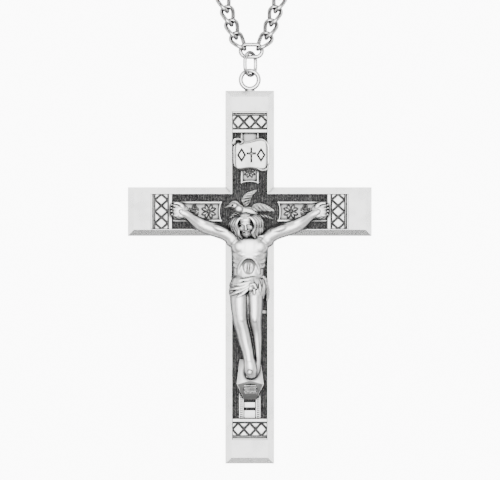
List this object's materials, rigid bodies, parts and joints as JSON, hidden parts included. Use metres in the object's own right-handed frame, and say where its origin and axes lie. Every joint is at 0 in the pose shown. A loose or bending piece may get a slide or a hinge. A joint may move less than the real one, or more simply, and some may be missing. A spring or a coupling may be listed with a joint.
{
  "type": "crucifix pendant",
  "caption": "Silver cross with bevelled edges, a dark sunken panel, lozenge bands and a cast figure, hung from a curb chain by an eye and a jump ring",
  "frame": {"origin": "On the flat back of the cross, where the middle lines of its two bars cross. The cross lies on its back.", "axes": "+X to the right as seen from the front, +Y to the head of the cross, +Z out of its front"},
  "size_m": [0.0476, 0.1358, 0.0079],
  "materials": {
    "antique_silver": "cast silver, polished on the high parts and oxidised dark in the recesses",
    "chain_silver": "bright silver wire with a little dark oxide between the links",
    "nail_silver": "silver rivets with rubbed round heads"
  },
  "bodies": {
    "cross": {"cross_body": "antique_silver", "band_top": "antique_silver", "band_bottom": "antique_silver", "band_left": "antique_silver", "band_right": "antique_silver", "strap_top": "antique_silver", "strap_left": "antique_silver", "strap_right": "antique_silver", "strap_bottom": "antique_silver", "dove_ornament": "antique_silver", "title_scroll": "antique_silver", "corpus": "antique_silver", "footrest": "antique_silver", "nail_left_hand": "nail_silver", "nail_right_hand": "nail_silver", "nail_feet": "nail_silver", "eye_ring": "antique_silver"},
    "jump_ring": {"jump_ring": "chain_silver"},
    "bottom_link": {"link_bottom": "chain_silver"},
    "left_link_1": {"link_left_1": "chain_silver"},
    "right_link_1": {"link_right_1": "chain_silver"},
    "left_link_2": {"link_left_2": "chain_silver"},
    "right_link_2": {"link_right_2": "chain_silver"},
    "left_link_3": {"link_left_3": "chain_silver"},
    "right_link_3": {"link_right_3": "chain_silver"},
    "left_link_4": {"link_left_4": "chain_silver"},
    "right_link_4": {"link_right_4": "chain_silver"},
    "left_link_5": {"link_left_5": "chain_silver"},
    "right_link_5": {"link_right_5": "chain_silver"},
    "chain_rest": {"chain_left_run": "chain_silver", "chain_right_run": "chain_silver", "chain_coil": "chain_silver"}
  },
  "joints": [
    {"name": "jump_ring_swing", "type": "hinge", "parent": "cross", "child": "jump_ring", "pos_m": [0.0001, 0.02704, 0.0019], "axis": [1, 0, 0], "range_deg": [-22, 22]},
    {"name": "bottom_link_swing", "type": "hinge", "parent": "jump_ring", "child": "bottom_link", "pos_m": [0.0003, 0.0307, 0.0019], "axis": [1, 0, 0], "range_deg": [-18, 8]},
    {"name": "left_link_1_swing", "type": "hinge", "parent": "bottom_link", "child": "left_link_1", "pos_m": [-0.00105, 0.03201, 0.0019], "axis": [1, 0, 0], "range_deg": [-10, 10]},
    {"name": "right_link_1_swing", "type": "hinge", "parent": "bottom_link", "child": "right_link_1", "pos_m": [0.00165, 0.03201, 0.0019], "axis": [1, 0, 0], "range_deg": [-10, 10]},
    {"name": "left_link_2_swing", "type": "hinge", "parent": "left_link_1", "child": "left_link_2", "pos_m": [-0.00254, 0.03429, 0.0019], "axis": [1, 0, 0], "range_deg": [-10, 10]},
    {"name": "right_link_2_swing", "type": "hinge", "parent": "right_link_1", "child": "right_link_2", "pos_m": [0.00314, 0.03429, 0.0019], "axis": [1, 0, 0], "range_deg": [-10, 10]},
    {"name": "left_link_3_swing", "type": "hinge", "parent": "left_link_2", "child": "left_link_3", "pos_m": [-0.00346, 0.03688, 0.0019], "axis": [1, 0, 0], "range_deg": [-10, 10]},
    {"name": "right_link_3_swing", "type": "hinge", "parent": "right_link_2", "child": "right_link_3", "pos_m": [0.00406, 0.03688, 0.0019], "axis": [1, 0, 0], "range_deg": [-10, 10]},
    {"name": "left_link_4_swing", "type": "hinge", "parent": "left_link_3", "child": "left_link_4", "pos_m": [-0.00431, 0.0395, 0.0019], "axis": [1, 0, 0], "range_deg": [-10, 10]},
    {"name": "right_link_4_swing", "type": "hinge", "parent": "right_link_3", "child": "right_link_4", "pos_m": [0.00491, 0.0395, 0.0019], "axis": [1, 0, 0], "range_deg": [-10, 10]},
    {"name": "left_link_5_swing", "type": "hinge", "parent": "left_link_4", "child": "left_link_5", "pos_m": [-0.00516, 0.04211, 0.0019], "axis": [1, 0, 0], "range_deg": [-10, 10]},
    {"name": "right_link_5_swing", "type": "hinge", "parent": "right_link_4", "child": "right_link_5", "pos_m": [0.00576, 0.04211, 0.0019], "axis": [1, 0, 0], "range_deg": [-10, 10]},
    {"name": "chain_rest_swing", "type": "hinge", "parent": "left_link_5", "child": "chain_rest", "pos_m": [-0.00601, 0.04473, 0.0019], "axis": [1, 0, 0], "range_deg": [-10, 10]}
  ],
  "couplings": [
    {"joint": "right_link_1_swing", "follows": "left_link_1_swing", "ratio": 1},
    {"joint": "right_link_2_swing", "follows": "left_link_2_swing", "ratio": 1},
    {"joint": "right_link_3_swing", "follows": "left_link_3_swing", "ratio": 1},
    {"joint": "right_link_4_swing", "follows": "left_link_4_swing", "ratio": 1},
    {"joint": "right_link_5_swing", "follows": "left_link_5_swing", "ratio": 1}
  ]
}
